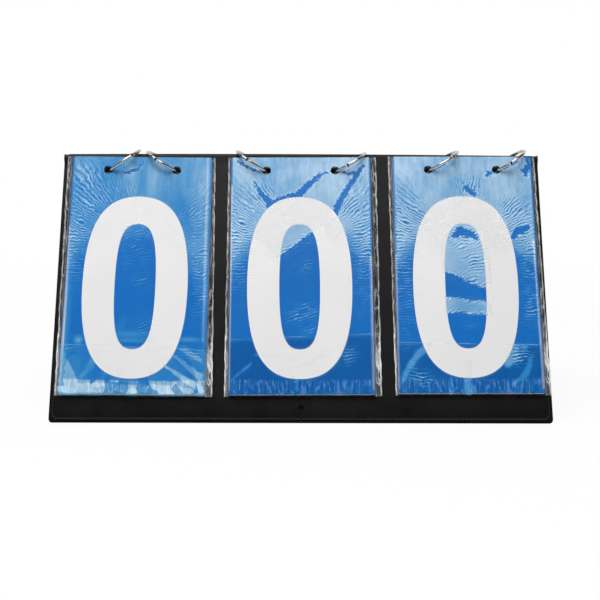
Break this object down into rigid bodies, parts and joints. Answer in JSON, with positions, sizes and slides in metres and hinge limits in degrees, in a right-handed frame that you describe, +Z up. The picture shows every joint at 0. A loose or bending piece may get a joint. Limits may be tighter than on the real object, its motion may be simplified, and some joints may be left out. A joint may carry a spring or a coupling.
{
  "type": "tabletop flip scoreboard",
  "caption": "Tent-shaped tabletop scoreboard with three ring-hung decks of digit cards that flip over the top.",
  "frame": {"origin": "on the table, under the middle of the object", "axes": "+Z up, front face with the digits towards -Y, X along the spine"},
  "size_m": [0.325, 0.1632, 0.1714],
  "materials": {
    "vinyl": "black vinyl, fine grain",
    "lining": "black vinyl strip",
    "board": "grey-brown chipboard",
    "card": "blue printed card under clear laminate",
    "ink": "white print",
    "film": "thin clear film",
    "nickel": "nickel-plated wire",
    "cord": "black twisted cord"
  },
  "bodies": {
    "front_board": {"front_chipboard": "board", "front_outer_skin": "vinyl", "front_inner_skin": "vinyl", "spine_lining": "lining", "front_cord_loop": "cord", "stay_cord": "cord"},
    "back_board": {"back_chipboard": "board", "back_outer_skin": "vinyl", "back_inner_skin": "vinyl", "back_cord_loop": "cord"},
    "left_card_9": {"left_card_9": "card"},
    "left_card_8": {"left_card_8": "card"},
    "left_card_7": {"left_card_7": "card"},
    "left_card_6": {"left_card_6": "card"},
    "left_card_5": {"left_card_5": "card"},
    "left_card_4": {"left_card_4": "card"},
    "left_card_3": {"left_card_3": "card"},
    "left_card_2": {"left_card_2": "card"},
    "left_card_1": {"left_card_1": "card"},
    "left_card_0": {"left_card_0": "card", "left_zero": "ink", "left_sleeve": "film"},
    "middle_card_9": {"middle_card_9": "card"},
    "middle_card_8": {"middle_card_8": "card"},
    "middle_card_7": {"middle_card_7": "card"},
    "middle_card_6": {"middle_card_6": "card"},
    "middle_card_5": {"middle_card_5": "card"},
    "middle_card_4": {"middle_card_4": "card"},
    "middle_card_3": {"middle_card_3": "card"},
    "middle_card_2": {"middle_card_2": "card"},
    "middle_card_1": {"middle_card_1": "card"},
    "middle_card_0": {"middle_card_0": "card", "middle_zero": "ink", "middle_sleeve": "film"},
    "right_card_9": {"right_card_9": "card"},
    "right_card_8": {"right_card_8": "card"},
    "right_card_7": {"right_card_7": "card"},
    "right_card_6": {"right_card_6": "card"},
    "right_card_5": {"right_card_5": "card"},
    "right_card_4": {"right_card_4": "card"},
    "right_card_3": {"right_card_3": "card"},
    "right_card_2": {"right_card_2": "card"},
    "right_card_1": {"right_card_1": "card"},
    "right_card_0": {"right_card_0": "card", "right_zero": "ink", "right_sleeve": "film"},
    "left_ring_a": {"left_ring_a_frame": "nickel"},
    "left_ring_a_gate": {"left_ring_a_gate": "nickel"},
    "left_ring_b": {"left_ring_b_frame": "nickel"},
    "left_ring_b_gate": {"left_ring_b_gate": "nickel"},
    "middle_ring_a": {"middle_ring_a_frame": "nickel"},
    "middle_ring_a_gate": {"middle_ring_a_gate": "nickel"},
    "middle_ring_b": {"middle_ring_b_frame": "nickel"},
    "middle_ring_b_gate": {"middle_ring_b_gate": "nickel"},
    "right_ring_a": {"right_ring_a_frame": "nickel"},
    "right_ring_a_gate": {"right_ring_a_gate": "nickel"},
    "right_ring_b": {"right_ring_b_frame": "nickel"},
    "right_ring_b_gate": {"right_ring_b_gate": "nickel"}
  },
  "joints": [
    {"name": "boards_fold", "type": "hinge", "parent": "front_board", "child": "back_board", "pos_m": [0, 0, 0.16408], "axis": [-1, 0, 0], "range_deg": [0, 50], "deforming": ["stay_cord"]},
    {"name": "left_card_9_flip", "type": "hinge", "parent": "front_board", "child": "left_card_9", "pos_m": [0, 0, 0.17445], "axis": [-1, 0, 0], "range_deg": [0, 308.57], "deforming": ["left_ring_a_frame", "left_ring_a_gate", "left_ring_b_frame", "left_ring_b_gate"]},
    {"name": "middle_card_9_flip", "type": "hinge", "parent": "front_board", "child": "middle_card_9", "pos_m": [0, 0, 0.17445], "axis": [-1, 0, 0], "range_deg": [0, 308.57], "deforming": ["middle_ring_a_frame", "middle_ring_a_gate", "middle_ring_b_frame", "middle_ring_b_gate"]},
    {"name": "right_card_9_flip", "type": "hinge", "parent": "front_board", "child": "right_card_9", "pos_m": [0, 0, 0.17445], "axis": [-1, 0, 0], "range_deg": [0, 308.57], "deforming": ["right_ring_a_frame", "right_ring_a_gate", "right_ring_b_frame", "right_ring_b_gate"]},
    {"name": "left_card_0_flip", "type": "hinge", "parent": "left_card_1", "child": "left_card_0", "pos_m": [0, 0, 0.17445], "axis": [-1, 0, 0], "range_deg": [0, 308.57], "deforming": ["left_ring_a_frame", "left_ring_a_gate", "left_ring_b_frame", "left_ring_b_gate"]},
    {"name": "middle_card_0_flip", "type": "hinge", "parent": "middle_card_1", "child": "middle_card_0", "pos_m": [0, 0, 0.17445], "axis": [-1, 0, 0], "range_deg": [0, 308.57], "deforming": ["middle_ring_a_frame", "middle_ring_a_gate", "middle_ring_b_frame", "middle_ring_b_gate"]},
    {"name": "right_card_0_flip", "type": "hinge", "parent": "right_card_1", "child": "right_card_0", "pos_m": [0, 0, 0.17445], "axis": [-1, 0, 0], "range_deg": [0, 308.57], "deforming": ["right_ring_a_frame", "right_ring_a_gate", "right_ring_b_frame", "right_ring_b_gate"]},
    {"name": "left_ring_a_swing", "type": "hinge", "parent": "front_board", "child": "left_ring_a", "pos_m": [-0.13115, 0, 0.15609], "axis": [0, -1, 0], "range_deg": [0, 112]},
    {"name": "left_ring_b_swing", "type": "hinge", "parent": "front_board", "child": "left_ring_b", "pos_m": [-0.08465, 0, 0.15609], "axis": [0, 1, 0], "range_deg": [0, 117]},
    {"name": "middle_ring_a_swing", "type": "hinge", "parent": "front_board", "child": "middle_ring_a", "pos_m": [-0.02365, 0, 0.15609], "axis": [0, 1, 0], "range_deg": [0, 114]},
    {"name": "middle_ring_b_swing", "type": "hinge", "parent": "front_board", "child": "middle_ring_b", "pos_m": [0.02285, 0, 0.15609], "axis": [0, -1, 0], "range_deg": [0, 120]},
    {"name": "right_ring_a_swing", "type": "hinge", "parent": "front_board", "child": "right_ring_a", "pos_m": [0.08625, 0, 0.15699], "axis": [0, -1, 0], "range_deg": [0, 118]},
    {"name": "right_ring_b_swing", "type": "hinge", "parent": "front_board", "child": "right_ring_b", "pos_m": [0.13275, 0, 0.15699], "axis": [0, -1, 0], "range_deg": [0, 114]},
    {"name": "left_ring_a_open", "type": "hinge", "parent": "left_ring_a", "child": "left_ring_a_gate", "pos_m": [-0.115, -0.01026, 0.16698], "axis": [0.5592, 0, -0.829], "range_deg": [0, 45]},
    {"name": "left_ring_b_open", "type": "hinge", "parent": "left_ring_b", "child": "left_ring_b_gate", "pos_m": [-0.09801, -0.01251, 0.16428], "axis": [0.5225, 0, 0.8526], "range_deg": [0, 45]},
    {"name": "middle_ring_a_open", "type": "hinge", "parent": "middle_ring_a", "child": "middle_ring_a_gate", "pos_m": [-0.03624, -0.01274, 0.16426], "axis": [0.5446, 0, 0.8387], "range_deg": [0, 45]},
    {"name": "middle_ring_b_open", "type": "hinge", "parent": "middle_ring_b", "child": "middle_ring_b_gate", "pos_m": [0.03085, -0.0133, 0.16071], "axis": [0.5, 0, -0.866], "range_deg": [0, 45]},
    {"name": "right_ring_a_open", "type": "hinge", "parent": "right_ring_a", "child": "right_ring_a_gate", "pos_m": [0.10273, -0.0107, 0.1669], "axis": [0.515, 0, -0.8572], "range_deg": [0, 45]},
    {"name": "right_ring_b_open", "type": "hinge", "parent": "right_ring_b", "child": "right_ring_b_gate", "pos_m": [0.14133, -0.01337, 0.16256], "axis": [0.5446, 0, -0.8387], "range_deg": [0, 45]},
    {"name": "left_card_8_flip", "type": "hinge", "parent": "left_card_9", "child": "left_card_8", "pos_m": [0, 0, 0.17445], "axis": [-1, 0, 0], "range_deg": [0, 308.57], "deforming": ["left_ring_a_frame", "left_ring_a_gate", "left_ring_b_frame", "left_ring_b_gate"]},
    {"name": "left_card_7_flip", "type": "hinge", "parent": "left_card_8", "child": "left_card_7", "pos_m": [0, 0, 0.17445], "axis": [-1, 0, 0], "range_deg": [0, 308.57], "deforming": ["left_ring_a_frame", "left_ring_a_gate", "left_ring_b_frame", "left_ring_b_gate"]},
    {"name": "left_card_6_flip", "type": "hinge", "parent": "left_card_7", "child": "left_card_6", "pos_m": [0, 0, 0.17445], "axis": [-1, 0, 0], "range_deg": [0, 308.57], "deforming": ["left_ring_a_frame", "left_ring_a_gate", "left_ring_b_frame", "left_ring_b_gate"]},
    {"name": "left_card_5_flip", "type": "hinge", "parent": "left_card_6", "child": "left_card_5", "pos_m": [0, 0, 0.17445], "axis": [-1, 0, 0], "range_deg": [0, 308.57], "deforming": ["left_ring_a_frame", "left_ring_a_gate", "left_ring_b_frame", "left_ring_b_gate"]},
    {"name": "left_card_4_flip", "type": "hinge", "parent": "left_card_5", "child": "left_card_4", "pos_m": [0, 0, 0.17445], "axis": [-1, 0, 0], "range_deg": [0, 308.57], "deforming": ["left_ring_a_frame", "left_ring_a_gate", "left_ring_b_frame", "left_ring_b_gate"]},
    {"name": "left_card_3_flip", "type": "hinge", "parent": "left_card_4", "child": "left_card_3", "pos_m": [0, 0, 0.17445], "axis": [-1, 0, 0], "range_deg": [0, 308.57], "deforming": ["left_ring_a_frame", "left_ring_a_gate", "left_ring_b_frame", "left_ring_b_gate"]},
    {"name": "left_card_2_flip", "type": "hinge", "parent": "left_card_3", "child": "left_card_2", "pos_m": [0, 0, 0.17445], "axis": [-1, 0, 0], "range_deg": [0, 308.57], "deforming": ["left_ring_a_frame", "left_ring_a_gate", "left_ring_b_frame", "left_ring_b_gate"]},
    {"name": "left_card_1_flip", "type": "hinge", "parent": "left_card_2", "child": "left_card_1", "pos_m": [0, 0, 0.17445], "axis": [-1, 0, 0], "range_deg": [0, 308.57], "deforming": ["left_ring_a_frame", "left_ring_a_gate", "left_ring_b_frame", "left_ring_b_gate"]},
    {"name": "middle_card_8_flip", "type": "hinge", "parent": "middle_card_9", "child": "middle_card_8", "pos_m": [0, 0, 0.17445], "axis": [-1, 0, 0], "range_deg": [0, 308.57], "deforming": ["middle_ring_a_frame", "middle_ring_a_gate", "middle_ring_b_frame", "middle_ring_b_gate"]},
    {"name": "middle_card_7_flip", "type": "hinge", "parent": "middle_card_8", "child": "middle_card_7", "pos_m": [0, 0, 0.17445], "axis": [-1, 0, 0], "range_deg": [0, 308.57], "deforming": ["middle_ring_a_frame", "middle_ring_a_gate", "middle_ring_b_frame", "middle_ring_b_gate"]},
    {"name": "middle_card_6_flip", "type": "hinge", "parent": "middle_card_7", "child": "middle_card_6", "pos_m": [0, 0, 0.17445], "axis": [-1, 0, 0], "range_deg": [0, 308.57], "deforming": ["middle_ring_a_frame", "middle_ring_a_gate", "middle_ring_b_frame", "middle_ring_b_gate"]},
    {"name": "middle_card_5_flip", "type": "hinge", "parent": "middle_card_6", "child": "middle_card_5", "pos_m": [0, 0, 0.17445], "axis": [-1, 0, 0], "range_deg": [0, 308.57], "deforming": ["middle_ring_a_frame", "middle_ring_a_gate", "middle_ring_b_frame", "middle_ring_b_gate"]},
    {"name": "middle_card_4_flip", "type": "hinge", "parent": "middle_card_5", "child": "middle_card_4", "pos_m": [0, 0, 0.17445], "axis": [-1, 0, 0], "range_deg": [0, 308.57], "deforming": ["middle_ring_a_frame", "middle_ring_a_gate", "middle_ring_b_frame", "middle_ring_b_gate"]},
    {"name": "middle_card_3_flip", "type": "hinge", "parent": "middle_card_4", "child": "middle_card_3", "pos_m": [0, 0, 0.17445], "axis": [-1, 0, 0], "range_deg": [0, 308.57], "deforming": ["middle_ring_a_frame", "middle_ring_a_gate", "middle_ring_b_frame", "middle_ring_b_gate"]},
    {"name": "middle_card_2_flip", "type": "hinge", "parent": "middle_card_3", "child": "middle_card_2", "pos_m": [0, 0, 0.17445], "axis": [-1, 0, 0], "range_deg": [0, 308.57], "deforming": ["middle_ring_a_frame", "middle_ring_a_gate", "middle_ring_b_frame", "middle_ring_b_gate"]},
    {"name": "middle_card_1_flip", "type": "hinge", "parent": "middle_card_2", "child": "middle_card_1", "pos_m": [0, 0, 0.17445], "axis": [-1, 0, 0], "range_deg": [0, 308.57], "deforming": ["middle_ring_a_frame", "middle_ring_a_gate", "middle_ring_b_frame", "middle_ring_b_gate"]},
    {"name": "right_card_8_flip", "type": "hinge", "parent": "right_card_9", "child": "right_card_8", "pos_m": [0, 0, 0.17445], "axis": [-1, 0, 0], "range_deg": [0, 308.57], "deforming": ["right_ring_a_frame", "right_ring_a_gate", "right_ring_b_frame", "right_ring_b_gate"]},
    {"name": "right_card_7_flip", "type": "hinge", "parent": "right_card_8", "child": "right_card_7", "pos_m": [0, 0, 0.17445], "axis": [-1, 0, 0], "range_deg": [0, 308.57], "deforming": ["right_ring_a_frame", "right_ring_a_gate", "right_ring_b_frame", "right_ring_b_gate"]},
    {"name": "right_card_6_flip", "type": "hinge", "parent": "right_card_7", "child": "right_card_6", "pos_m": [0, 0, 0.17445], "axis": [-1, 0, 0], "range_deg": [0, 308.57], "deforming": ["right_ring_a_frame", "right_ring_a_gate", "right_ring_b_frame", "right_ring_b_gate"]},
    {"name": "right_card_5_flip", "type": "hinge", "parent": "right_card_6", "child": "right_card_5", "pos_m": [0, 0, 0.17445], "axis": [-1, 0, 0], "range_deg": [0, 308.57], "deforming": ["right_ring_a_frame", "right_ring_a_gate", "right_ring_b_frame", "right_ring_b_gate"]},
    {"name": "right_card_4_flip", "type": "hinge", "parent": "right_card_5", "child": "right_card_4", "pos_m": [0, 0, 0.17445], "axis": [-1, 0, 0], "range_deg": [0, 308.57], "deforming": ["right_ring_a_frame", "right_ring_a_gate", "right_ring_b_frame", "right_ring_b_gate"]},
    {"name": "right_card_3_flip", "type": "hinge", "parent": "right_card_4", "child": "right_card_3", "pos_m": [0, 0, 0.17445], "axis": [-1, 0, 0], "range_deg": [0, 308.57], "deforming": ["right_ring_a_frame", "right_ring_a_gate", "right_ring_b_frame", "right_ring_b_gate"]},
    {"name": "right_card_2_flip", "type": "hinge", "parent": "right_card_3", "child": "right_card_2", "pos_m": [0, 0, 0.17445], "axis": [-1, 0, 0], "range_deg": [0, 308.57], "deforming": ["right_ring_a_frame", "right_ring_a_gate", "right_ring_b_frame", "right_ring_b_gate"]},
    {"name": "right_card_1_flip", "type": "hinge", "parent": "right_card_2", "child": "right_card_1", "pos_m": [0, 0, 0.17445], "axis": [-1, 0, 0], "range_deg": [0, 308.57], "deforming": ["right_ring_a_frame", "right_ring_a_gate", "right_ring_b_frame", "right_ring_b_gate"]}
  ]
}
